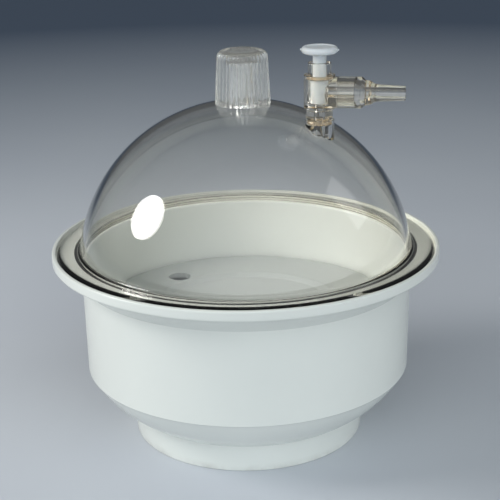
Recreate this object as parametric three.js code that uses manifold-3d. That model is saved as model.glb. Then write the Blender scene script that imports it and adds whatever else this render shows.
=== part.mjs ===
// A vacuum desiccator with a 230 mm plate: a white bowl on a foot ring, a loose support plate, a seal ring in
// the rim, and a clear dome that lifts off by its fluted knob. A plug valve with a hose nozzle stands in a
// boss on the dome. Millimetres, +Z up, origin on the bench under the middle of the foot; the valve stands
// on the +X side.
import * as THREE from "three";
import { mergeVertices } from "three/addons/utils/BufferGeometryUtils.js";
import Module from "manifold-3d";

const wasm = await Module();
wasm.setup();

// Driving dimensions
const GAP = 0.3; // left between pieces that touch
const ROUND_STEPS = 40; // sides of the bowl, plate, seal and dome
const SMALL_STEPS = 24; // sides of the valve's pieces

const RIM = { radius: 142.5, inner: 139.6, top: 145, under: 137.2, seat: 140.8, edge: 2 };
const FLARE = { bottom: 122.5, bulge: 0.8 }; // the slope from under the rim down to the wall
const WALL = { topRadius: 121.6, lowRadius: 120.6, lowZ: 52.6, thick: 3.6 };
const UNDERSIDE = { innerRadius: 91.5, innerZ: 22.5, bulge: 2.4, edge: 1.4 };
const FOOT = { radius: 86, topRadius: 87.6, thick: 4.6, floorZ: 18, chamfer: 0.8 };
const GROOVE = { radius: 124.4, halfWidth: 1.8, bottom: 137.5 };
const SEAL_SECTION = 1.5;
const PLATE = { radius: 115.4, top: 93, thick: 4, recessRadius: 75, recessSlope: 5, recess: 3 };
const PLATE_HOLE = { radius: 8.8, pitchRadius: 86.4, angle: 155.6 };
const RIB = { count: 6, width: 4, inner: 109, outer: 118.5, bottom: 55 };

const DOME = { radius: 123.7, centreZ: 126.4 };
const HOLLOW = { radius: 120.2, centreZ: DOME.centreZ }; // an even wall, 3.5 mm thick
const LID_FLANGE = { radius: 138.9, bottom: 141.1, top: 144.6, fillet: 3, edgeWidth: 6.8, edgeHeight: 2.9 };
const KNOB = { baseRadius: 19.9, topRadius: 18.3, top: 287, round: 5.5, bore: 12, boreTop: 280 };
const FLUTE = { count: 36, depth: 0.075 };

const VALVE = { x: 59.6, turn: 17 }; // stands this far out; its arm is turned this many degrees from +X
const BOSS = { radius: 10.3, top: 242.4, bore: 6.6, seatRadius: 9.2, seatDepth: 3.2 };
const SPIGOT = { radius: 6.3, bottom: 230 };
const TUBE = { radius: 9.2, bottom: BOSS.top + GAP };
const BARREL = { radius: 10.9, bottom: 250.4, top: 273.6, mouthRadius: 9.5, mouthDepth: 2.8 };
const ARM = { z: 261.4, end: 12.4, spigotRadius: 7.2, spigotEnd: 24.4 };
const PORT_RADIUS = 2.6;
const PLUG = { radius: 6.3, bottom: 254.2, top: 270.8, stemRadius: 4.7, stemTop: 291.2 };
const GLAND = { radius: 8, top: 282.2, spigotRadius: 6.8, spigotBottom: 271.2, bore: 5 };
const HANDLE = { radius: 12.5, bottom: 288.4, top: 293.2 };
const NOZZLE = { socket: 7.5, shoulder: 29.5, bead: 33, neck: 38.8, neckRadius: 6.1, tip: 59.4, tipRadius: 4.9 };
const BOSS_SEAL = { radius: 7.8, section: 1.1, z: BOSS.top - 2 };
const GLAND_SEAL = { radius: 8.15, section: 1, z: BARREL.top - 1.5 };

// ---- shape helpers ----

const radians = (degrees) => (degrees * Math.PI) / 180;

// Points on a circle about (r, z), from one angle to another in degrees.
function arc(r, z, radius, from, to, steps) {
  const points = [];
  for (let i = 0; i <= steps; i++) {
    const a = radians(from + ((to - from) * i) / steps);
    points.push([r + radius * Math.cos(a), z + radius * Math.sin(a)]);
  }
  return points;
}

// Points on the shallow arc from p to q that stands out to the right of that direction by its bulge.
function bowed(p, q, bulge, steps) {
  const [dr, dz] = [q[0] - p[0], q[1] - p[1]];
  const length = Math.hypot(dr, dz);
  const points = [];
  for (let i = 0; i <= steps; i++) {
    const t = i / steps;
    const out = (4 * bulge * t * (1 - t)) / length;
    points.push([p[0] + dr * t + dz * out, p[1] + dz * t - dr * out]);
  }
  return points;
}

// A sphere's outline from the height where it starts up to the axis.
function cap(sphere, fromZ, steps) {
  const from = (Math.asin((fromZ - sphere.centreZ) / sphere.radius) * 180) / Math.PI;
  const points = arc(0, sphere.centreZ, sphere.radius, from, 90, steps);
  points[steps][0] = 0;
  return points;
}

const sphereRadiusAt = (sphere, z) => Math.sqrt(sphere.radius ** 2 - (z - sphere.centreZ) ** 2);
const sphereHeightAt = (sphere, r) => sphere.centreZ + Math.sqrt(sphere.radius ** 2 - r ** 2);

// A closed geometry as a solid that can be joined and cut.
function solid(geometry) {
  const bare = new THREE.BufferGeometry();
  bare.setAttribute("position", geometry.getAttribute("position"));
  bare.setIndex(geometry.index);
  const merged = mergeVertices(bare, 1e-4);
  const index = merged.index.array;
  const kept = [];
  for (let i = 0; i < index.length; i += 3) {
    const [a, b, c] = [index[i], index[i + 1], index[i + 2]];
    if (a !== b && b !== c && c !== a) kept.push(a, b, c);
  }
  return new wasm.Manifold(
    new wasm.Mesh({
      numProp: 3,
      vertProperties: new Float32Array(merged.getAttribute("position").array),
      triVerts: new Uint32Array(kept),
    }),
  );
}

// A solid turned about Z from [radius, height] points, which start and end on the axis or close on
// themselves. scaleAt(radius, angle), if given, moves a point in or out by that factor.
function turned(outline, steps, scaleAt) {
  const onAxis = outline[0][0] === 0 && outline[outline.length - 1][0] === 0;
  const closed = onAxis ? [...outline] : [...outline, outline[0]];
  let area = 0;
  closed.forEach(([r, z], i) => {
    const [nextR, nextZ] = closed[(i + 1) % closed.length];
    area += r * nextZ - nextR * z;
  });
  if (area < 0) closed.reverse();
  const points = closed.map(([r, z]) => new THREE.Vector2(r, z));
  const geometry = new THREE.LatheGeometry(points, steps).rotateX(Math.PI / 2);
  if (scaleAt) {
    const position = geometry.getAttribute("position");
    for (let i = 0; i < position.count; i++) {
      const [x, y] = [position.getX(i), position.getY(i)];
      const scale = scaleAt(Math.hypot(x, y), Math.atan2(y, x));
      position.setXY(i, x * scale, y * scale);
    }
  }
  return solid(geometry);
}

const rod = (radius, from, to, steps = SMALL_STEPS) =>
  turned([[0, from], [radius, from], [radius, to], [0, to]], steps);

const ring = (radius, z, section, steps) => turned(arc(radius, z, section, 0, 315, 7), steps);

// Turned about the valve's arm, which lies along X here; the outline is [radius, x].
const onArm = (outline) => turned(outline, SMALL_STEPS).rotate([0, 90, 0]).translate([0, 0, ARM.z]);

const rodOnArm = (radius, from, to) => onArm([[0, from], [radius, from], [radius, to], [0, to]]);

// ---- the bowl, its plate and its seal ----

function baseBowl() {
  const footInner = FOOT.radius - FOOT.thick;
  const wallInner = WALL.topRadius - WALL.thick;
  const lowInner = WALL.lowRadius - WALL.thick;
  const floorTop = FOOT.floorZ + WALL.thick;
  const underside = [
    [UNDERSIDE.innerRadius, UNDERSIDE.innerZ],
    [WALL.lowRadius - UNDERSIDE.edge, WALL.lowZ - UNDERSIDE.edge],
  ];
  const flare = [
    [WALL.topRadius, FLARE.bottom],
    [RIM.radius - RIM.edge - 1, RIM.under],
  ];
  const insideCorner = [
    [lowInner, WALL.lowZ + 2],
    [UNDERSIDE.innerRadius - 6, floorTop],
  ];
  const bowl = turned(
    [
      [0, FOOT.floorZ],
      [footInner - 2, FOOT.floorZ],
      [footInner, FOOT.floorZ - 2],
      [footInner, FOOT.chamfer],
      [footInner + FOOT.chamfer, 0],
      [FOOT.radius - FOOT.chamfer, 0],
      [FOOT.radius, FOOT.chamfer],
      [FOOT.topRadius, UNDERSIDE.innerZ - 2.6],
      [FOOT.topRadius + 1.2, UNDERSIDE.innerZ - 0.8],
      ...bowed(underside[0], underside[1], UNDERSIDE.bulge, 4),
      [WALL.lowRadius, WALL.lowZ],
      ...bowed(flare[0], flare[1], -FLARE.bulge, 3),
      ...arc(RIM.radius - RIM.edge, RIM.under + RIM.edge, RIM.edge, -80, 0, 2),
      ...arc(RIM.radius - 1.4, RIM.top - 1.4, 1.4, 0, 90, 2),
      [RIM.inner + 0.5, RIM.top],
      [RIM.inner, RIM.top - 0.6],
      [RIM.inner, RIM.seat],
      [GROOVE.radius + GROOVE.halfWidth, RIM.seat],
      [GROOVE.radius + GROOVE.halfWidth, GROOVE.bottom],
      [GROOVE.radius - GROOVE.halfWidth, GROOVE.bottom],
      [GROOVE.radius - GROOVE.halfWidth, RIM.seat],
      [wallInner + 1.5, RIM.seat],
      [wallInner, RIM.seat - 1.5],
      ...bowed(insideCorner[0], insideCorner[1], -UNDERSIDE.bulge, 4),
      [0, floorTop],
    ],
    ROUND_STEPS,
  );
  const ribTop = PLATE.top - PLATE.thick - GAP;
  const ribs = [];
  for (let i = 0; i < RIB.count; i++) {
    const rib = new THREE.BoxGeometry(RIB.outer - RIB.inner, RIB.width, ribTop - RIB.bottom);
    rib.translate((RIB.inner + RIB.outer) / 2, 0, (ribTop + RIB.bottom) / 2);
    ribs.push(solid(rib).rotate([0, 0, (360 / RIB.count) * (i + 0.5)]));
  }
  return ribs.reduce((all, rib) => all.add(rib), bowl);
}

function supportPlate() {
  const low = PLATE.top - PLATE.thick;
  const slopeEnd = PLATE.recessRadius - PLATE.recessSlope;
  const plate = turned(
    [
      [0, low - PLATE.recess],
      [slopeEnd, low - PLATE.recess],
      [PLATE.recessRadius, low],
      [PLATE.radius, low],
      [PLATE.radius, PLATE.top],
      [PLATE.recessRadius, PLATE.top],
      [slopeEnd, PLATE.top - PLATE.recess],
      [0, PLATE.top - PLATE.recess],
    ],
    ROUND_STEPS,
  );
  const hole = rod(PLATE_HOLE.radius, low - 5, PLATE.top + 5).translate([PLATE_HOLE.pitchRadius, 0, 0]);
  return plate.subtract(hole.rotate([0, 0, PLATE_HOLE.angle]));
}

const rimSeal = () => ring(GROOVE.radius, GROOVE.bottom + GAP + SEAL_SECTION, SEAL_SECTION, ROUND_STEPS);

// ---- the lid ----

// The flange's outer edge is a quarter of an ellipse, from its side up on to its top.
const flangeEdge = (steps) => {
  const points = [];
  for (let i = 0; i <= steps; i += 1) {
    const a = (Math.PI / 2) * (i / steps);
    const r = LID_FLANGE.radius - LID_FLANGE.edgeWidth * (1 - Math.cos(a));
    points.push([r, LID_FLANGE.top - LID_FLANGE.edgeHeight * (1 - Math.sin(a))]);
  }
  return points;
};

function dome() {
  const flange = LID_FLANGE;
  const capStart = flange.top + flange.fillet;
  const wallRadius = sphereRadiusAt(DOME, capStart);
  const outside = turned(
    [
      [0, flange.bottom],
      [flange.radius - 0.4, flange.bottom],
      [flange.radius, flange.bottom + 0.4],
      ...flangeEdge(4),
      [wallRadius + flange.fillet, flange.top],
      [wallRadius + flange.fillet * 0.3, flange.top + flange.fillet * 0.3],
      ...cap(DOME, capStart, 11),
    ],
    ROUND_STEPS,
  );
  const hollowStart = flange.bottom - 2;
  const hollow = turned([[0, hollowStart], ...cap(HOLLOW, hollowStart, 11)], ROUND_STEPS);
  const boss = rod(BOSS.radius, BOSS.top - 26, BOSS.top).translate([VALVE.x, 0, 0]);
  const seat = rod(BOSS.seatRadius, BOSS.top - BOSS.seatDepth, BOSS.top + 1).translate([VALVE.x, 0, 0]);
  const bore = rod(BOSS.bore, BOSS.top - 40, BOSS.top).translate([VALVE.x, 0, 0]);
  return outside.add(boss).subtract(hollow).subtract(seat).subtract(bore);
}

// Hollow, with an edge that follows the dome.
function lidKnob() {
  const edgeAt = (r) => sphereHeightAt(DOME, r) + GAP;
  const fluted = (r, angle) => {
    if (r < KNOB.topRadius - KNOB.round + 0.5) return 1;
    return 1 - FLUTE.depth * (0.5 + 0.5 * Math.cos(FLUTE.count * angle));
  };
  return turned(
    [
      [0, KNOB.boreTop],
      [KNOB.bore - 1.5, KNOB.boreTop],
      [KNOB.bore, KNOB.boreTop - 1.5],
      [KNOB.bore, edgeAt(KNOB.bore)],
      [KNOB.baseRadius, edgeAt(KNOB.baseRadius)],
      [KNOB.baseRadius, edgeAt(KNOB.baseRadius) + 4],
      ...arc(KNOB.topRadius - KNOB.round, KNOB.top - KNOB.round, KNOB.round, 10, 90, 3),
      [0, KNOB.top],
    ],
    FLUTE.count * 2,
    fluted,
  );
}

// ---- the valve, about its own upright axis, with its arm along X ----

const bossSeal = () => ring(BOSS_SEAL.radius, BOSS_SEAL.z, BOSS_SEAL.section, SMALL_STEPS);

function valveBody() {
  const portTop = PLUG.bottom + 1;
  return rod(SPIGOT.radius, SPIGOT.bottom, TUBE.bottom + 1)
    .add(rod(TUBE.radius, TUBE.bottom, BARREL.bottom + 1))
    .add(rod(BARREL.radius, BARREL.bottom, BARREL.top))
    .add(rodOnArm(BARREL.radius, 0, ARM.end))
    .add(rodOnArm(ARM.spigotRadius, 0, ARM.spigotEnd))
    .subtract(rod(PLUG.radius + GAP, PLUG.bottom - GAP, BARREL.top + 1))
    .subtract(rod(BARREL.mouthRadius, BARREL.top - BARREL.mouthDepth, BARREL.top + 1))
    .subtract(rod(PORT_RADIUS, SPIGOT.bottom - 1, portTop))
    .subtract(rodOnArm(PORT_RADIUS, 0, ARM.spigotEnd + 1));
}

function glandSeal() {
  return ring(GLAND_SEAL.radius, GLAND_SEAL.z, GLAND_SEAL.section, SMALL_STEPS);
}

// The collar that closes the barrel and holds the plug down.
function glandBush() {
  const flangeBottom = BARREL.top + GAP;
  return turned(
    [
      [GLAND.bore, GLAND.spigotBottom],
      [GLAND.spigotRadius, GLAND.spigotBottom],
      [GLAND.spigotRadius, flangeBottom],
      [GLAND.radius, flangeBottom],
      [GLAND.radius, GLAND.top - 0.8],
      [GLAND.radius - 0.8, GLAND.top],
      [GLAND.bore, GLAND.top],
    ],
    SMALL_STEPS,
  );
}

// The key, with a bore that turns from its foot to its side, and the stem above it.
function valvePlug() {
  return rod(PLUG.radius, PLUG.bottom, PLUG.top)
    .add(rod(PLUG.stemRadius, PLUG.top - 1, PLUG.stemTop))
    .subtract(rod(PORT_RADIUS, PLUG.bottom - 1, ARM.z, 16))
    .subtract(rodOnArm(PORT_RADIUS, 0, PLUG.radius + 1));
}

// A disc that is pressed over the stem. Two small nibs show which way the key's bore points.
function valveHandle() {
  const socket = PLUG.stemRadius + GAP;
  const middle = (HANDLE.bottom + HANDLE.top) / 2;
  const halfThick = (HANDLE.top - HANDLE.bottom) / 2;
  const disc = turned(
    [
      [socket, HANDLE.bottom],
      ...arc(HANDLE.radius - halfThick, middle, halfThick, -90, 90, 6),
      [0, HANDLE.top],
      [0, PLUG.stemTop + GAP],
      [socket, PLUG.stemTop + GAP],
    ].reverse(),
    SMALL_STEPS,
  );
  const nibs = new THREE.BoxGeometry(2 * (HANDLE.radius + 1), 1.6, 1.2).translate(0, 0, middle);
  const middleOut = rod(HANDLE.radius - 1, HANDLE.bottom - 1, HANDLE.top + 1);
  return disc.add(solid(nibs).subtract(middleOut));
}

function hoseNozzle() {
  const n = NOZZLE;
  const socketStart = ARM.end + GAP;
  const chamberEnd = n.shoulder + 1;
  return onArm([
    [n.socket, socketStart],
    [BARREL.radius, socketStart],
    [BARREL.radius, n.shoulder],
    [n.neckRadius + 2.4, n.bead - 1],
    [n.neckRadius + 2.4, n.bead + 1.4],
    [n.neckRadius, n.neck],
    [n.tipRadius, n.tip - 0.4],
    [n.tipRadius - 0.4, n.tip],
    [PORT_RADIUS, n.tip],
    [PORT_RADIUS, chamberEnd],
    [n.socket - 3, chamberEnd],
    [n.socket, ARM.spigotEnd + GAP],
  ]);
}

// ---- the scene graph ----

function named(name, shape, color, roughness, look = {}) {
  const made = shape.getMesh();
  const geometry = new THREE.BufferGeometry();
  geometry.setAttribute("position", new THREE.BufferAttribute(new Float32Array(made.vertProperties), 3));
  geometry.setIndex(new THREE.BufferAttribute(new Uint32Array(made.triVerts), 1));
  geometry.computeVertexNormals();
  const mesh = new THREE.Mesh(
    geometry,
    new THREE.MeshStandardMaterial({ color, roughness, metalness: 0, ...look }),
  );
  mesh.name = name;
  return mesh;
}

const CLEAR = { transparent: true, opacity: 0.3 };
const clearPiece = (name, shape) => named(name, shape, 0xf2efe6, 0.05, CLEAR);

const desiccator = new THREE.Group();
desiccator.add(named("base_bowl", baseBowl(), 0xe6e9e4, 0.35));
desiccator.add(named("support_plate", supportPlate(), 0xdfe2dc, 0.45));
desiccator.add(named("rim_seal", rimSeal(), 0x141414, 0.6));
desiccator.add(clearPiece("dome", dome()));
desiccator.add(clearPiece("lid_knob", lidKnob()));

const valve = new THREE.Group();
valve.position.x = VALVE.x;
valve.rotation.z = radians(VALVE.turn);
valve.add(named("boss_seal", bossSeal(), 0xa8763e, 0.5));
valve.add(clearPiece("valve_body", valveBody()));
valve.add(clearPiece("gland_bush", glandBush()));
valve.add(named("gland_seal", glandSeal(), 0xa8763e, 0.5));
valve.add(named("valve_plug", valvePlug(), 0xf0f3f5, 0.35));
valve.add(named("valve_handle", valveHandle(), 0xf0f3f5, 0.35));
valve.add(clearPiece("hose_nozzle", hoseNozzle()));
desiccator.add(valve);

export default desiccator;
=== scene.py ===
import math

import bmesh
import bpy
from mathutils import Matrix, Vector


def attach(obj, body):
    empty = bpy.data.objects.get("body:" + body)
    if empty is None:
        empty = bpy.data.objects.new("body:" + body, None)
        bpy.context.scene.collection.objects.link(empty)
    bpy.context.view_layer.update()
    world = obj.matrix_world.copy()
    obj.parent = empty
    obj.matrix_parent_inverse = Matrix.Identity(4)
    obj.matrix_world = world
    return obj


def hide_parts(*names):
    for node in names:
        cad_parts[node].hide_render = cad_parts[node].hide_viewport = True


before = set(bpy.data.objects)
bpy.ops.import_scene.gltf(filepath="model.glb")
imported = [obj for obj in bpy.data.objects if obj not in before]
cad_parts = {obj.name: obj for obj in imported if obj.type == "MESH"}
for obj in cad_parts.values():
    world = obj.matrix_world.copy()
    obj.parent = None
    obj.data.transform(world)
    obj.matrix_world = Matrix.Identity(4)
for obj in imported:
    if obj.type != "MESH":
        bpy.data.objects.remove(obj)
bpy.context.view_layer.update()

MM = 0.001  # outlines are written in millimetres
GAP = 0.3
ROUND = 192  # sides of the bowl and the dome
SMALL = 96  # sides of the valve's pieces
CAP_STEPS = 56  # steps up the dome from its flange to its crown

# ---- the same design sizes as the CAD model, in millimetres ----

RIM = {"radius": 142.5, "inner": 139.6, "top": 145, "under": 137.2, "seat": 140.8}
FLARE = {"bottom": 122.5, "bulge": 0.8}
WALL = {"top": 121.6, "low": 120.6, "low_z": 52.6, "thick": 3.6}
UNDERSIDE = {"inner": 91.5, "z": 22.5, "bulge": 2.4, "edge": 1.4}
FOOT = {"radius": 86, "top": 87.6, "thick": 4.6, "floor": 18}
GROOVE = {"radius": 124.4, "half": 1.8, "bottom": 137.5}
SEAL_SECTION = 1.5
PLATE = {"radius": 115.4, "top": 93, "thick": 4, "recess_radius": 75, "slope": 5, "recess": 3}
PLATE_HOLE = {"radius": 8.8, "pitch": 86.4, "angle": 155.6}
RIB = {"count": 6, "width": 4, "inner": 109, "outer": 118.8, "bottom": 55}

DOME = {"radius": 123.7, "centre": 126.4}
HOLLOW = {"radius": 120.2, "centre": 126.4}
FLANGE = {"radius": 138.9, "bottom": 141.1, "top": 144.6, "fillet": 3}
FLANGE_EDGE = {"width": 6.8, "height": 2.9}
KNOB = {"base": 19.9, "top_radius": 18.3, "top": 287, "round": 5.5, "bore": 12, "bore_top": 280}
FLUTE = {"count": 36, "depth": 0.075, "top": 0.8, "fade_height": 3, "inner": 12, "fade_reach": 3}

VALVE_X = 59.6
VALVE_TURN = 17
BOSS = {"radius": 10.3, "top": 242.4, "bore": 6.6, "seat": 9.2, "seat_depth": 3.2}
BOSS_SEAL = {"radius": 7.8, "depth": 2, "section": 1.1}
SPIGOT = {"radius": 6.3, "bottom": 230}
TUBE = {"radius": 9.2, "bottom": BOSS["top"] + GAP}
BARREL = {"radius": 10.9, "bottom": 250.4, "top": 273.6, "mouth": 9.5, "mouth_depth": 2.8}
ARM_Z = 261.4
ARM = {"reach": 12.4, "spigot_radius": 7.2, "spigot_reach": 24.4}
PORT = 2.6
PLUG = {"radius": 6.3, "bottom": 254.2, "top": 270.8, "stem": 4.7, "stem_top": 291.2}
GLAND = {"radius": 8, "top": 282.2, "spigot": 6.8, "spigot_bottom": 271.2, "bore": 5}
GLAND_SEAL = {"radius": 8.15, "depth": 1.5, "section": 1}
HANDLE = {"radius": 12.5, "bottom": 288.4, "top": 293.2, "round": 2.1, "dish": 0.5}
NOZZLE = {"start": 12.7, "socket": 7.5, "socket_end": 24.7, "shoulder": 29.5, "bore_start": 30.5}
BEAD = {"radius": 8.6, "start": 31.9, "end": 34.4}
BARB = {"start": 38.8, "radius": 6.1, "tip": 59.4, "tip_radius": 4.9}

# ---- the camera, which stands 27 degrees round from the front ----

VIEW_TURN = math.radians(27)
CAMERA_DISTANCE = 0.8891
CAMERA_HEIGHT = 0.4423
CAMERA_PITCH = math.radians(18.92)
CAMERA_YAW = math.radians(0.2)
CAMERA_ROLL = math.radians(1.04)
LENS = 91.0


def seen_from_camera(right, beyond, up):
    """A point so far to the right of, beyond and above the origin as the camera sees it, in metres."""
    return Matrix.Rotation(VIEW_TURN, 3, "Z") @ Vector((right, beyond, up))


def add_camera():
    data = bpy.data.cameras.new("camera")
    data.lens = LENS
    data.clip_start = 0.01
    camera = bpy.data.objects.new("camera", data)
    bpy.context.scene.collection.objects.link(camera)
    turn = Matrix.Rotation(VIEW_TURN - CAMERA_YAW, 4, "Z")
    tilt = Matrix.Rotation(math.pi / 2 - CAMERA_PITCH, 4, "X")
    roll = Matrix.Rotation(-CAMERA_ROLL, 4, "Z")
    place = Matrix.Translation(seen_from_camera(0, -CAMERA_DISTANCE, CAMERA_HEIGHT))
    camera.matrix_world = place @ turn @ tilt @ roll
    bpy.context.scene.camera = camera


add_camera()

# ---- outlines ----


def rounded(corners, steps=5):
    """The closed outline through (radius, height, rounding) corners, each rounded by an arc."""
    points = []
    count = len(corners)
    for i, corner in enumerate(corners):
        here = Vector(corner[:2])
        size = corner[2] if len(corner) > 2 else 0
        if not size:
            points.append(tuple(here))
            continue
        before = (Vector(corners[i - 1][:2]) - here).normalized()
        after = (Vector(corners[(i + 1) % count][:2]) - here).normalized()
        half = before.angle(after) / 2
        reach = size / math.tan(half)
        centre = here + (before + after).normalized() * (size / math.sin(half))
        start = here + before * reach - centre
        sweep = start.angle_signed(here + after * reach - centre)
        for k in range(steps + 1):
            # angle_signed is clockwise positive
            spoke = Matrix.Rotation(-sweep * k / steps, 2) @ start
            points.append(tuple(centre + spoke))
    return points


def bowed(p, q, bulge, steps):
    """Points on the shallow arc from p to q that stands out to the right of that direction."""
    dr, dz = q[0] - p[0], q[1] - p[1]
    length = math.hypot(dr, dz)
    points = []
    for i in range(steps + 1):
        t = i / steps
        out = 4 * bulge * t * (1 - t) / length
        points.append((p[0] + dr * t + dz * out, p[1] + dz * t - dr * out))
    return points


def cap(sphere, from_z, steps):
    """A sphere's outline from a height up to the axis."""
    start = math.asin((from_z - sphere["centre"]) / sphere["radius"])
    points = []
    for i in range(steps + 1):
        a = start + (math.pi / 2 - start) * i / steps
        points.append((sphere["radius"] * math.cos(a), sphere["centre"] + sphere["radius"] * math.sin(a)))
    points[-1] = (0, points[-1][1])
    return points


def height_on(sphere, r):
    return sphere["centre"] + math.sqrt(sphere["radius"] ** 2 - r * r)


# ---- solids ----


def mesh_object(name, bm):
    bmesh.ops.recalc_face_normals(bm, faces=bm.faces)
    mesh = bpy.data.meshes.new(name)
    bm.to_mesh(mesh)
    bm.free()
    piece = bpy.data.objects.new(name, mesh)
    bpy.context.scene.collection.objects.link(piece)
    return piece


def lathe(name, outline, sides, scale_at=None):
    """A closed solid turned about Z. An outline that starts and ends on the axis is capped by it."""
    bm = bmesh.new()
    rings = []
    for r, z in outline:
        if r < 1e-6:
            rings.append([bm.verts.new((0, 0, z * MM))] * sides)
            continue
        ring = []
        for i in range(sides):
            a = 2 * math.pi * i / sides
            reach = r * MM * (scale_at(r, z, a) if scale_at else 1)
            ring.append(bm.verts.new((reach * math.cos(a), reach * math.sin(a), z * MM)))
        rings.append(ring)
    pairs = list(zip(rings, rings[1:]))
    if outline[0][0] > 1e-6:
        pairs.append((rings[-1], rings[0]))
    for low, high in pairs:
        for i in range(sides):
            j = (i + 1) % sides
            corners = [low[i], low[j], high[j], high[i]]
            unique = [v for k, v in enumerate(corners) if v not in corners[:k]]
            if len(unique) > 2:
                bm.faces.new(unique)
    return mesh_object(name, bm)


def rod(radius, low, high, sides=SMALL, rounding=0.0):
    top = [(radius, high, rounding), (0, high)]
    return lathe("tool", rounded([(0, low), (radius, low, rounding)] + top), sides)


def block(width, depth, height, centre, rounding):
    bm = bmesh.new()
    bmesh.ops.create_cube(bm, size=1)
    bmesh.ops.scale(bm, vec=Vector((width, depth, height)) * MM, verts=bm.verts)
    bmesh.ops.translate(bm, vec=Vector(centre) * MM, verts=bm.verts)
    bmesh.ops.bevel(bm, geom=bm.edges[:], offset=rounding * MM, segments=3, affect="EDGES", profile=0.5)
    return mesh_object("tool", bm)


def move(piece, matrix):
    piece.data.transform(matrix)
    return piece


def on_arm(piece):
    """Lays a piece turned about Z along the valve's arm, which lies along X."""
    lay = Matrix.Translation((0, 0, ARM_Z * MM)) @ Matrix.Rotation(math.pi / 2, 4, "Y")
    return move(piece, lay)


def bake(piece):
    """Turns a piece's modifier into its mesh."""
    shown = piece.evaluated_get(bpy.context.evaluated_depsgraph_get())
    result = bpy.data.meshes.new_from_object(shown)
    piece.modifiers.clear()
    old = piece.data
    piece.data = result
    bpy.data.meshes.remove(old)


def cut_or_join(piece, tools, operation):
    for tool in tools:
        change = piece.modifiers.new("change", "BOOLEAN")
        change.operation = operation
        change.solver = "EXACT"
        change.object = tool
        bake(piece)
        bpy.data.objects.remove(tool)
    return piece


def cut(piece, *tools):
    return cut_or_join(piece, tools, "DIFFERENCE")


def join(piece, *tools):
    return cut_or_join(piece, tools, "UNION")


def stand(piece):
    """Puts a piece of the valve, built about its own axis, in its place on the dome."""
    turn = Matrix.Rotation(math.radians(VALVE_TURN), 4, "Z")
    return move(piece, Matrix.Translation((VALVE_X * MM, 0, 0)) @ turn)


def finish_piece(piece, name, node, body, material, crease=32):
    piece.name = name
    piece.data.shade_smooth()
    piece.data.set_sharp_from_angle(angle=math.radians(crease))
    # large faces set the normals, so a flat face stays flat beside its rounded edge
    weights = piece.modifiers.new("weights", "WEIGHTED_NORMAL")
    weights.keep_sharp = True
    bake(piece)
    piece.data.name = name
    piece.data.materials.clear()
    piece.data.materials.append(material)
    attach(piece, body)
    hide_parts(node)
    return piece


# ---- materials ----


class Nodes:
    """A small helper for one material's node tree."""

    def __init__(self, name):
        self.material = bpy.data.materials.new(name)
        self.material.use_nodes = True
        self.tree = self.material.node_tree
        self.shader = self.tree.nodes["Principled BSDF"]
        self.output = self.tree.nodes["Material Output"]
        self.place = self.add("ShaderNodeTexCoord").outputs["Object"]

    def add(self, kind, **values):
        node = self.tree.nodes.new(kind)
        for key, value in values.items():
            setattr(node, key, value)
        return node

    def link(self, source, target):
        self.tree.links.new(source, target)

    def noise(self, scale, detail=3.0, stretch=(1, 1, 1)):
        mapping = self.add("ShaderNodeMapping")
        mapping.inputs["Scale"].default_value = stretch
        self.link(self.place, mapping.inputs["Vector"])
        node = self.add("ShaderNodeTexNoise")
        node.inputs["Scale"].default_value = scale
        node.inputs["Detail"].default_value = detail
        self.link(mapping.outputs["Vector"], node.inputs["Vector"])
        return node.outputs["Fac"]

    def spread(self, source, low, high, start=0.3, end=0.7):
        node = self.add("ShaderNodeMapRange")
        node.inputs["From Min"].default_value = start
        node.inputs["From Max"].default_value = end
        node.inputs["To Min"].default_value = low
        node.inputs["To Max"].default_value = high
        self.link(source, node.inputs["Value"])
        return node.outputs["Result"]

    def height(self):
        node = self.add("ShaderNodeSeparateXYZ")
        self.link(self.place, node.inputs["Vector"])
        return node.outputs["Z"]

    def distance(self):
        node = self.add("ShaderNodeVectorMath", operation="LENGTH")
        self.link(self.place, node.inputs[0])
        return node.outputs["Value"]

    def mix(self, factor, a, b):
        node = self.add("ShaderNodeMix", data_type="RGBA")
        for socket, value in ((6, a), (7, b)):
            if isinstance(value, tuple):
                node.inputs[socket].default_value = (*value, 1)
            else:
                self.link(value, node.inputs[socket])
        self.link(factor, node.inputs[0])
        return node.outputs[2]

    def times(self, a, b):
        node = self.add("ShaderNodeMath", operation="MULTIPLY")
        self.link(a, node.inputs[0])
        self.link(b, node.inputs[1])
        return node.outputs[0]

    def bump(self, sources):
        """Bumps in turn; each source is (height, strength, depth in millimetres)."""
        normal = None
        for source, strength, depth in sources:
            node = self.add("ShaderNodeBump")
            node.inputs["Strength"].default_value = strength
            node.inputs["Distance"].default_value = depth * MM
            self.link(source, node.inputs["Height"])
            if normal:
                self.link(normal, node.inputs["Normal"])
            normal = node.outputs["Normal"]
        self.link(normal, self.shader.inputs["Normal"])


def scratches(nodes, scale, stretch):
    """Thin lines: the narrow band about the middle of a stretched noise."""
    fine = nodes.noise(scale, 2.0, stretch)
    up = nodes.spread(fine, 0, 1, 0.485, 0.5)
    down = nodes.spread(fine, 1, 0, 0.5, 0.515)
    return nodes.times(up, down)


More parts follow.
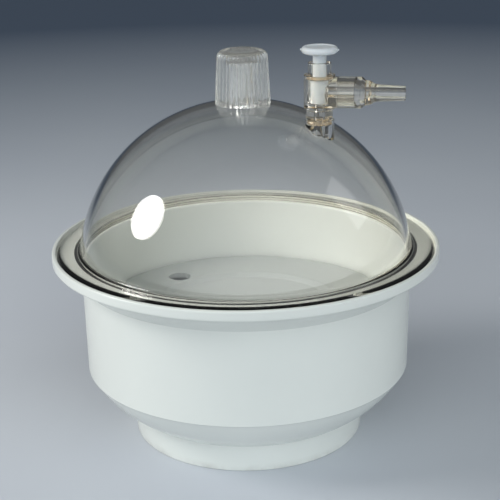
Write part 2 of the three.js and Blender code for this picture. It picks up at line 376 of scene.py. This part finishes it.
def moulded_white(name, light, dark, roughness, grain, foot_shade=False):
    """Moulded polymer: a slow drift of tone, a fine orange-peel skin and an uneven gloss."""
    nodes = Nodes(name)
    drift = nodes.spread(nodes.noise(14, 4), 0, 1)
    colour = nodes.mix(drift, light, dark)
    # painted shade: the lowest 6 mm of the foot turn patchily grey, darkest at the bottom where it meets
    # the floor
    if foot_shade:
        low = nodes.spread(nodes.height(), 0.75, 0, 0.0, 0.006)
        contact_shade = nodes.times(low, nodes.spread(nodes.noise(90, 5), 0.1, 1, 0.35, 0.7))
        colour = nodes.mix(contact_shade, colour, (0.5, 0.5, 0.47))
    nodes.link(colour, nodes.shader.inputs["Base Color"])
    handled = nodes.spread(nodes.noise(240, 3), roughness - 0.02, roughness + 0.03)
    nodes.link(handled, nodes.shader.inputs["Roughness"])
    nodes.bump([
        (nodes.noise(1400, 3), grain, 0.04),
        (nodes.noise(70, 1), 0.05, 0.2),
    ])
    nodes.shader.inputs["IOR"].default_value = 1.49
    return nodes.material


def clear_plastic(name, tint, depth_colour, density, roughness, ripple, clarity=1.0):
    """Clear moulded plastic. Lamps shine through it, and long paths inside it turn warm."""
    nodes = Nodes(name)
    shader = nodes.shader
    shader.inputs["Base Color"].default_value = (*tint, 1)
    shader.inputs["Transmission Weight"].default_value = clarity
    shader.inputs["IOR"].default_value = 1.52
    smears = nodes.spread(nodes.noise(26, 6, (1, 1, 0.5)), 0, 1, 0.45, 0.75)
    lines = nodes.times(scratches(nodes, 90, (1, 1, 5)), nodes.spread(nodes.noise(12, 2), 0, 1, 0.5, 0.7))
    haze = nodes.add("ShaderNodeMath", operation="MAXIMUM")
    nodes.link(smears, haze.inputs[0])
    nodes.link(lines, haze.inputs[1])
    rough = nodes.spread(haze.outputs[0], roughness, roughness + 0.05, 0, 1)
    nodes.link(rough, shader.inputs["Roughness"])
    nodes.bump([(nodes.noise(38, 1), ripple, 0.35)])
    through = nodes.add("ShaderNodeBsdfTransparent")
    through.inputs["Color"].default_value = (0.87, 0.87, 0.855, 1)
    lamps = nodes.add("ShaderNodeMixShader")
    path = nodes.add("ShaderNodeLightPath")
    nodes.link(path.outputs["Is Shadow Ray"], lamps.inputs[0])
    nodes.link(shader.outputs[0], lamps.inputs[1])
    nodes.link(through.outputs[0], lamps.inputs[2])
    nodes.link(lamps.outputs[0], nodes.output.inputs["Surface"])
    inside = nodes.add("ShaderNodeVolumeAbsorption")
    inside.inputs["Color"].default_value = (*depth_colour, 1)
    inside.inputs["Density"].default_value = density
    nodes.link(inside.outputs[0], nodes.output.inputs["Volume"])
    return nodes.material


def rubber(name, light, dark, roughness):
    """Moulded rubber: a fine matt skin with dusty patches."""
    nodes = Nodes(name)
    dust = nodes.spread(nodes.noise(70, 5), 0, 1, 0.45, 0.8)
    nodes.link(nodes.mix(dust, dark, light), nodes.shader.inputs["Base Color"])
    rough = nodes.spread(nodes.noise(160, 3), roughness - 0.08, roughness + 0.1)
    nodes.link(rough, nodes.shader.inputs["Roughness"])
    nodes.bump([(nodes.noise(1800, 2), 0.25, 0.04), (nodes.noise(240, 2), 0.15, 0.1)])
    return nodes.material


def amber_silicone(name):
    """Translucent amber silicone, brown where light has far to go through it."""
    nodes = Nodes(name)
    tone = nodes.spread(nodes.noise(300, 3), 0, 1)
    nodes.link(nodes.mix(tone, (0.94, 0.80, 0.60), (0.88, 0.70, 0.46)), nodes.shader.inputs["Base Color"])
    nodes.shader.inputs["Transmission Weight"].default_value = 0.85
    nodes.shader.inputs["IOR"].default_value = 1.41
    nodes.link(nodes.spread(nodes.noise(500, 3), 0.16, 0.3), nodes.shader.inputs["Roughness"])
    nodes.bump([(nodes.noise(900, 2), 0.15, 0.05)])
    return nodes.material


def waxy_white(name):
    """Natural polymer, milky rather than opaque."""
    nodes = Nodes(name)
    tone = nodes.spread(nodes.noise(180, 3), 0, 1)
    nodes.link(nodes.mix(tone, (0.90, 0.93, 0.95), (0.82, 0.87, 0.9)), nodes.shader.inputs["Base Color"])
    shader = nodes.shader
    shader.inputs["Transmission Weight"].default_value = 0.35
    shader.inputs["Subsurface Weight"].default_value = 0.4
    shader.inputs["Subsurface Radius"].default_value = (0.8, 0.9, 1.0)
    shader.inputs["Subsurface Scale"].default_value = 0.004
    shader.inputs["IOR"].default_value = 1.5
    rough = nodes.spread(nodes.noise(400, 4), 0.3, 0.45)
    nodes.link(rough, shader.inputs["Roughness"])
    nodes.bump([(nodes.noise(1600, 3), 0.2, 0.03), (nodes.noise(220, 2), 0.15, 0.12)])
    return nodes.material


# ---- the bowl, its plate and its seal ----


def make_bowl(material):
    foot_inner = FOOT["radius"] - FOOT["thick"]
    wall_inner = WALL["top"] - WALL["thick"]
    low_inner = WALL["low"] - WALL["thick"]
    floor_top = FOOT["floor"] + WALL["thick"]
    edge = UNDERSIDE["edge"]
    groove_in = GROOVE["radius"] - GROOVE["half"]
    groove_out = GROOVE["radius"] + GROOVE["half"]
    curve_start = (UNDERSIDE["inner"], UNDERSIDE["z"])
    curve_end = (WALL["low"] - edge, WALL["low_z"] - edge)
    underside = bowed(curve_start, curve_end, UNDERSIDE["bulge"], 14)
    flare_end = (RIM["radius"] - 3, RIM["under"])
    flare = bowed((WALL["top"], FLARE["bottom"]), flare_end, -FLARE["bulge"], 10)
    inside_end = (UNDERSIDE["inner"] - 6, floor_top)
    inside = bowed((low_inner, WALL["low_z"] + 2), inside_end, -UNDERSIDE["bulge"], 12)
    corners = [
        (0, FOOT["floor"]),
        (foot_inner, FOOT["floor"], 2.5),
        (foot_inner, 0, 0.9),
        (FOOT["radius"], 0, 0.9),
        (FOOT["top"], UNDERSIDE["z"] - 1.5, 1.2),
        *underside,
        (WALL["low"], WALL["low_z"], 0.5),
        *flare,
        (RIM["radius"], RIM["under"] + 0.3, 1.7),
        (RIM["radius"], RIM["top"], 1.35),
        (RIM["inner"], RIM["top"], 0.6),
        (RIM["inner"], RIM["seat"], 0.4),
        (groove_out, RIM["seat"], 0.3),
        (groove_out, GROOVE["bottom"], 0.4),
        (groove_in, GROOVE["bottom"], 0.4),
        (groove_in, RIM["seat"], 0.3),
        (wall_inner, RIM["seat"], 1.6),
        *inside,
        (0, floor_top),
    ]
    bowl = lathe("tool", rounded(corners), ROUND)
    rib_top = PLATE["top"] - PLATE["thick"] - GAP
    for i in range(RIB["count"]):
        size = (RIB["outer"] - RIB["inner"], RIB["width"], rib_top - RIB["bottom"])
        centre = ((RIB["inner"] + RIB["outer"]) / 2, 0, (rib_top + RIB["bottom"]) / 2)
        rib = block(*size, centre, 0.5)
        join(bowl, move(rib, Matrix.Rotation(2 * math.pi * (i + 0.5) / RIB["count"], 4, "Z")))
    finish_piece(bowl, "bowl", "base_bowl", "base", material)


def make_plate(material):
    low = PLATE["top"] - PLATE["thick"]
    slope_end = PLATE["recess_radius"] - PLATE["slope"]
    corners = [
        (0, low - PLATE["recess"]),
        (slope_end, low - PLATE["recess"], 2),
        (PLATE["recess_radius"], low, 2),
        (PLATE["radius"], low, 0.6),
        (PLATE["radius"], PLATE["top"], 0.8),
        (PLATE["recess_radius"], PLATE["top"], 3),
        (slope_end, PLATE["top"] - PLATE["recess"], 3),
        (0, PLATE["top"] - PLATE["recess"]),
    ]
    plate = lathe("tool", rounded(corners, 6), ROUND)
    out = Matrix.Translation((PLATE_HOLE["pitch"] * MM, 0, 0))
    turn = Matrix.Rotation(math.radians(PLATE_HOLE["angle"]), 4, "Z")
    hole = rod(PLATE_HOLE["radius"], low - 5, PLATE["top"] + 5)
    cut(plate, move(hole, turn @ out))
    finish_piece(plate, "plate", "support_plate", "plate", material)


def ring(radius, z, section, sides):
    outline = []
    for i in range(24):
        a = 2 * math.pi * i / 24
        outline.append((radius + section * math.cos(a), z + section * math.sin(a)))
    return lathe("tool", outline, sides)


def make_rim_seal(material):
    seal = ring(GROOVE["radius"], GROOVE["bottom"] + GAP + SEAL_SECTION, SEAL_SECTION, ROUND)
    finish_piece(seal, "seal_ring", "rim_seal", "base", material)


# ---- the lid ----


def flange_edge(steps=10):
    """The flange's outer edge: a quarter of an ellipse, from its side up on to its top."""
    points = []
    for i in range(steps + 1):
        a = math.pi / 2 * i / steps
        r = FLANGE["radius"] - FLANGE_EDGE["width"] * (1 - math.cos(a))
        points.append((r, FLANGE["top"] - FLANGE_EDGE["height"] * (1 - math.sin(a))))
    return points


def make_dome(material):
    cap_start = FLANGE["top"] + FLANGE["fillet"]
    reach = math.sqrt(DOME["radius"] ** 2 - (cap_start - DOME["centre"]) ** 2)
    corners = [
        (0, FLANGE["bottom"]),
        (FLANGE["radius"], FLANGE["bottom"], 0.5),
        *flange_edge(),
        (reach + 0.1, FLANGE["top"], 2.6),
        *cap(DOME, cap_start, CAP_STEPS),
    ]
    dome = lathe("tool", rounded(corners), ROUND)
    stand_at = Matrix.Translation((VALVE_X * MM, 0, 0))
    join(dome, move(rod(BOSS["radius"], BOSS["top"] - 26, BOSS["top"], SMALL, 0.5), stand_at))
    start = FLANGE["bottom"] - 2
    hollow = lathe("tool", [(0, start), *cap(HOLLOW, start, CAP_STEPS)], ROUND)
    seat = move(rod(BOSS["seat"], BOSS["top"] - BOSS["seat_depth"], BOSS["top"] + 1), stand_at)
    bore = move(rod(BOSS["bore"], BOSS["top"] - 40, BOSS["top"]), stand_at)
    cut(dome, hollow, seat, bore)
    finish_piece(dome, "dome_cover", "dome", "lid", material)


def make_knob(material):
    def fluted(r, z, a):
        """Round ribs with grooves between them, which fade out over the rounded shoulder."""
        if r < KNOB["bore"] + 0.5:
            return 1
        below = min(1, max(0, (KNOB["top"] - FLUTE["top"] - z) / FLUTE["fade_height"]))
        outward = min(1, max(0, (r - FLUTE["inner"]) / FLUTE["fade_reach"]))
        groove = 1 - abs(math.cos(FLUTE["count"] * a / 2))
        return 1 - FLUTE["depth"] * below * outward * groove

    edge = height_on(DOME, KNOB["bore"]) + GAP
    outer = height_on(DOME, KNOB["base"]) + GAP
    side = [(KNOB["base"] - 0.22 * i, outer + 1 + 4.2 * i) for i in range(8)]
    corners = [
        (0, KNOB["bore_top"]),
        (KNOB["bore"], KNOB["bore_top"], 1.6),
        (KNOB["bore"], edge, 0.3),
        (KNOB["base"], outer, 0.4),
        *side,
        (KNOB["top_radius"], KNOB["top"], KNOB["round"]),
        (0, KNOB["top"]),
    ]
    knob = lathe("tool", rounded(corners, 9), FLUTE["count"] * 12, fluted)
    finish_piece(knob, "knob", "lid_knob", "lid", material, 50)


# ---- the valve ----


def make_small_seals(material):
    lower = stand(ring(BOSS_SEAL["radius"], BOSS["top"] - BOSS_SEAL["depth"], BOSS_SEAL["section"], SMALL))
    finish_piece(lower, "valve_seat_ring", "boss_seal", "lid", material)
    upper_z = BARREL["top"] - GLAND_SEAL["depth"]
    upper = stand(ring(GLAND_SEAL["radius"], upper_z, GLAND_SEAL["section"], SMALL))
    finish_piece(upper, "gland_ring", "gland_seal", "valve", material)


def make_valve_body(material):
    tube = lathe(
        "tool",
        rounded([
            (0, SPIGOT["bottom"]),
            (SPIGOT["radius"], SPIGOT["bottom"], 0.6),
            (SPIGOT["radius"], TUBE["bottom"], 0.3),
            (TUBE["radius"], TUBE["bottom"], 0.5),
            (TUBE["radius"], BARREL["bottom"] - 1.2, 0.8),
            (BARREL["radius"], BARREL["bottom"], 0.5),
            (BARREL["radius"], BARREL["top"], 0.5),
            (0, BARREL["top"]),
        ]),
        SMALL,
    )
    arm = on_arm(rod(BARREL["radius"], 0, ARM["reach"], SMALL))
    spigot = on_arm(rod(ARM["spigot_radius"], 0, ARM["spigot_reach"], SMALL, 0.4))
    join(tube, arm, spigot)
    chamber = lathe(
        "tool",
        rounded([
            (0, PLUG["bottom"] - GAP),
            (PLUG["radius"] + GAP, PLUG["bottom"] - GAP, 0.3),
            (PLUG["radius"] + GAP, BARREL["top"] - BARREL["mouth_depth"], 0.2),
            (BARREL["mouth"], BARREL["top"] - BARREL["mouth_depth"], 0.3),
            (BARREL["mouth"], BARREL["top"] + 1),
            (0, BARREL["top"] + 1),
        ]),
        SMALL,
    )
    way_up = rod(PORT, SPIGOT["bottom"] - 1, PLUG["bottom"] + 1, 48)
    way_out = on_arm(rod(PORT, 0, ARM["spigot_reach"] + 1, 48))
    cut(tube, chamber, way_up, way_out)
    finish_piece(stand(tube), "valve_barrel", "valve_body", "valve", material)


def make_gland(material):
    flange = BARREL["top"] + GAP
    outline = rounded([
        (GLAND["bore"], GLAND["spigot_bottom"], 0.3),
        (GLAND["spigot"], GLAND["spigot_bottom"], 0.3),
        (GLAND["spigot"], flange, 0.2),
        (GLAND["radius"], flange, 0.4),
        (GLAND["radius"], GLAND["top"], 0.8),
        (GLAND["bore"], GLAND["top"], 0.3),
    ])
    gland = stand(lathe("tool", outline, SMALL))
    finish_piece(gland, "gland_collar", "gland_bush", "valve", material)


def make_plug(material):
    corners = [
        (0, PLUG["bottom"]),
        (PLUG["radius"], PLUG["bottom"], 0.4),
        (PLUG["radius"], PLUG["top"], 0.5),
        (PLUG["stem"], PLUG["top"], 0.3),
        (PLUG["stem"], PLUG["stem_top"], 0.5),
        (0, PLUG["stem_top"]),
    ]
    plug = lathe("tool", rounded(corners), SMALL)
    cut(plug, rod(PORT, PLUG["bottom"] - 1, ARM_Z, 32), on_arm(rod(PORT, 0, PLUG["radius"] + 1, 32)))
    finish_piece(stand(plug), "plug_key", "valve_plug", "key", material)


def make_handle(material):
    socket = PLUG["stem"] + GAP
    middle = (HANDLE["bottom"] + HANDLE["top"]) / 2
    ceiling = PLUG["stem_top"] + GAP
    dish_z = HANDLE["top"] - HANDLE["dish"]
    outline = rounded([
        (0, ceiling),
        (socket, ceiling, 0.2),
        (socket, HANDLE["bottom"], 0.3),
        (HANDLE["radius"], HANDLE["bottom"], HANDLE["round"]),
        (HANDLE["radius"], HANDLE["top"], HANDLE["round"]),
        (HANDLE["radius"] - 3.4, HANDLE["top"], 0.3),
        (HANDLE["radius"] - 3.9, dish_z, 0.3),
        (0, dish_z),
    ])
    disc = lathe("tool", outline, SMALL)
    for side in (-1, 1):
        join(disc, block(2.6, 1.6, 1.2, (side * (HANDLE["radius"] - 0.3), 0, middle), 0.3))
    finish_piece(stand(disc), "handle_disc", "valve_handle", "key", material)


def make_nozzle(material):
    outline = rounded([
        (NOZZLE["socket"], NOZZLE["start"], 0.2),
        (BARREL["radius"], NOZZLE["start"], 0.4),
        (BARREL["radius"], NOZZLE["shoulder"], 1.6),
        (BEAD["radius"], BEAD["start"], 0.4),
        (BEAD["radius"], BEAD["end"], 0.5),
        (BARB["radius"], BARB["start"], 1.2),
        (BARB["tip_radius"], BARB["tip"], 0.5),
        (PORT, BARB["tip"], 0.2),
        (PORT, NOZZLE["bore_start"], 0.2),
        (4.5, NOZZLE["bore_start"], 0.4),
        (NOZZLE["socket"], NOZZLE["socket_end"], 0.3),
    ])
    nozzle = stand(on_arm(lathe("tool", outline, SMALL)))
    finish_piece(nozzle, "nozzle", "hose_nozzle", "valve", material)


BOWL_WHITE = moulded_white("bowl_white", (0.765, 0.79, 0.745), (0.735, 0.76, 0.72), 0.24, 0.1, True)
# the plate's white is darkened to about half the bowl's: painted shade for the plate lying low in the bowl
# under grazing light
PLATE_SHADED_WHITE = moulded_white("plate_shaded_white", (0.43, 0.455, 0.437), (0.408, 0.43, 0.413), 0.4, 0.25)
SEAL_BLACK = rubber("seal_black", (0.035, 0.035, 0.036), (0.008, 0.008, 0.009), 0.5)
SEAL_AMBER = amber_silicone("seal_amber")
DOME_CLEAR = clear_plastic("dome_clear", (0.99, 0.99, 0.985), (1.0, 0.9, 0.7), 14, 0.012, 0.05)
KNOB_CLEAR = clear_plastic("knob_clear", (0.98, 0.985, 0.975), (1.0, 0.95, 0.82), 10, 0.04, 0.07, 0.95)
VALVE_CLEAR = clear_plastic("valve_clear", (0.99, 0.985, 0.97), (1.0, 0.87, 0.62), 26, 0.015, 0.06)
WAXY_WHITE = waxy_white("waxy_white")

make_bowl(BOWL_WHITE)
make_plate(PLATE_SHADED_WHITE)
make_rim_seal(SEAL_BLACK)
make_dome(DOME_CLEAR)
make_knob(KNOB_CLEAR)
make_small_seals(SEAL_AMBER)
make_valve_body(VALVE_CLEAR)
make_gland(VALVE_CLEAR)
make_plug(WAXY_WHITE)
make_handle(WAXY_WHITE)
make_nozzle(VALVE_CLEAR)

# ---- the stage ----

FLOOR_RADIUS = 9.0
FLOOR_FADE = (0.5, 2.0)


def add_floor():
    """A wide flat floor, pale round the object and darker with distance, the same on every side."""
    bm = bmesh.new()
    bmesh.ops.create_circle(bm, cap_ends=True, segments=96, radius=FLOOR_RADIUS)
    floor = mesh_object("floor", bm)
    nodes = Nodes("floor_pale")
    tone = nodes.spread(nodes.noise(3, 2), 0, 1)
    pale = nodes.mix(tone, (0.60, 0.63, 0.67), (0.57, 0.60, 0.65))
    fade = nodes.spread(nodes.distance(), 0, 1, *FLOOR_FADE)
    nodes.link(nodes.mix(fade, pale, (0.075, 0.105, 0.155)), nodes.shader.inputs["Base Color"])
    nodes.shader.inputs["Roughness"].default_value = 0.7
    floor.data.materials.append(nodes.material)


def add_lamp(name, place, aim, size, power, colour, shape="DISK"):
    data = bpy.data.lights.new(name, "AREA")
    data.shape = shape
    data.size = size[0]
    if shape == "RECTANGLE":
        data.size_y = size[1]
    data.energy = power
    data.color = colour
    lamp = bpy.data.objects.new(name, data)
    lamp.location = seen_from_camera(*place)
    towards = seen_from_camera(*aim) - lamp.location
    lamp.rotation_euler = towards.to_track_quat("-Z", "Y").to_euler()
    bpy.context.scene.collection.objects.link(lamp)


def add_light():
    """A round lamp on the left, a soft window on the right and a room that is bright behind the camera."""
    add_lamp("key", (-1.03, -0.13, 0.72), (0, 0, 0.17), (0.5, 0.5), 7.5, (1.0, 0.985, 0.96))
    add_lamp("right", (1.3, 0.1, 0.9), (0, 0, 0.15), (0.4, 0.7), 0.8, (0.97, 0.98, 1.0), "RECTANGLE")
    world = bpy.data.worlds.new("world")
    bpy.context.scene.world = world
    world.use_nodes = True
    nodes = world.node_tree.nodes
    links = world.node_tree.links
    direction = nodes.new("ShaderNodeTexCoord").outputs["Generated"]
    towards = nodes.new("ShaderNodeVectorMath")
    towards.operation = "DOT_PRODUCT"
    towards.inputs[1].default_value = seen_from_camera(0.2, -0.97, -0.1)
    links.new(direction, towards.inputs[0])
    glow = nodes.new("ShaderNodeMapRange")
    glow.interpolation_type = "SMOOTHSTEP"
    glow.inputs["From Min"].default_value = -0.2
    glow.inputs["From Max"].default_value = 1
    glow.inputs["To Min"].default_value = 0.1
    glow.inputs["To Max"].default_value = 1.75
    links.new(towards.outputs["Value"], glow.inputs["Value"])
    sky = nodes["Background"]
    sky.inputs["Color"].default_value = (0.9, 0.96, 1.0, 1)
    links.new(glow.outputs["Result"], sky.inputs["Strength"])


add_floor()
add_light()
bpy.context.scene.view_settings.view_transform = "Standard"
